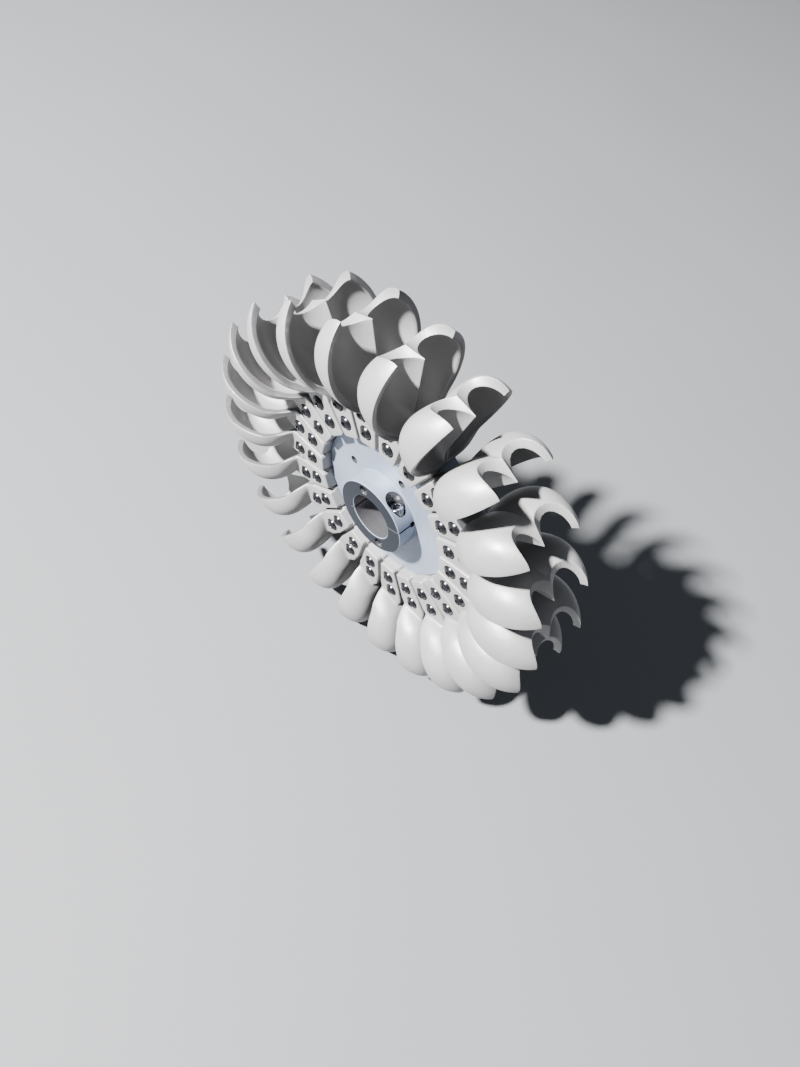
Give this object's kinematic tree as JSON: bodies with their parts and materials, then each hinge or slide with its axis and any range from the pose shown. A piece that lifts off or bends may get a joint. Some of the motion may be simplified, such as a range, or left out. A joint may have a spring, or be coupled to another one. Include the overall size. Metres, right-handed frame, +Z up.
{
  "type": "pelton wheel",
  "caption": "Impulse turbine runner: a flat hub disc with a boss and bore, ringed by twin-bowl buckets that are screwed on by their feet.",
  "frame": {"origin": "centre of the wheel, on its axis, in the middle plane of the twin bowls", "axes": "+Y along the wheel's axis, away from the face with the screw heads; +Z up when the wheel stands on its rim; the lowest two buckets lie level"},
  "size_m": [0.3214, 0.074, 0.3182],
  "materials": {
    "turned_steel": "turned, satin",
    "cast_steel": "cast and blasted, matt",
    "bright_steel": "bright, polished"
  },
  "bodies": {
    "root": {"hub_disc": "turned_steel", "clamp_screw": "bright_steel", "boss_face_screw_1": "bright_steel", "boss_face_screw_2": "bright_steel", "bucket_01": "cast_steel", "bucket_02": "cast_steel", "bucket_03": "cast_steel", "bucket_04": "cast_steel", "bucket_05": "cast_steel", "bucket_06": "cast_steel", "bucket_07": "cast_steel", "bucket_08": "cast_steel", "bucket_09": "cast_steel", "bucket_10": "cast_steel", "bucket_11": "cast_steel", "bucket_12": "cast_steel", "bucket_13": "cast_steel", "bucket_14": "cast_steel", "bucket_15": "cast_steel", "bucket_16": "cast_steel", "bucket_17": "cast_steel", "bucket_18": "cast_steel", "bucket_19": "cast_steel", "bucket_20": "cast_steel", "bucket_21": "cast_steel", "bucket_22": "cast_steel"}
  },
  "joints": []
}
